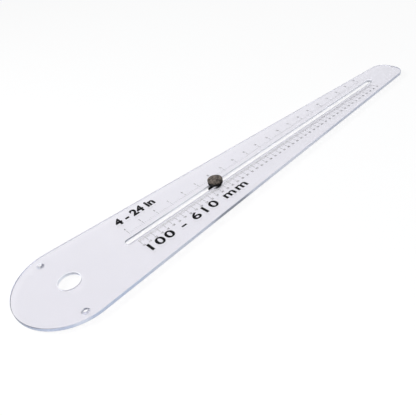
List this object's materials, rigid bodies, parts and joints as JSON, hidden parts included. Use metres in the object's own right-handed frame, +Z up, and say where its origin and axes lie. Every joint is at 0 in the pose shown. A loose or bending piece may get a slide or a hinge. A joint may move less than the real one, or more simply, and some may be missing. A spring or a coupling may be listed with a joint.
{
  "type": "router circle cutting jig",
  "caption": "Clear tapered beam with a round head that screws under a router, and a pointed pivot clamped by a fluted knob in its long graduated slot.",
  "frame": {"origin": "below the middle of the jig's length and width, level with the tip of the pivot's point", "axes": "+X along the arm from the round head to the narrow end, +Z up out of the face that the router stands on"},
  "size_m": [0.766, 0.148, 0.0203],
  "materials": {
    "clear_acrylic": "clear sheet with a faint cool tint and smooth routed edges",
    "black_plastic": "moulded, slightly worn satin",
    "turned_steel": "turned and zinc plated",
    "hardened_steel": "ground and hardened",
    "brass": "turned",
    "grey_fibre": "pressed fibre"
  },
  "bodies": {
    "beam": {"beam": "clear_acrylic"},
    "carriage": {"guide_block": "black_plastic", "upper_washer": "turned_steel"},
    "pivot": {"pivot_stud": "turned_steel", "pivot_point": "hardened_steel", "lower_washer": "grey_fibre"},
    "knob": {"knob_grip": "black_plastic", "knob_insert": "brass"}
  },
  "joints": [
    {"name": "pivot_slide", "type": "slide", "parent": "beam", "child": "carriage", "axis": [1, 0, 0], "range_m": [-0.148, 0.369]},
    {"name": "knob_turn", "type": "hinge", "parent": "carriage", "child": "knob", "pos_m": [-0.061, 0, 0.0134], "axis": [0, 0, 1], "range_deg": [0, 360]},
    {"name": "stud_drop", "type": "slide", "parent": "carriage", "child": "pivot", "axis": [0, 0, -1], "range_m": [0, 0.0008]}
  ],
  "couplings": [
    {"joint": "stud_drop", "follows": "knob_turn", "m_per_rad": 0.00012732}
  ]
}
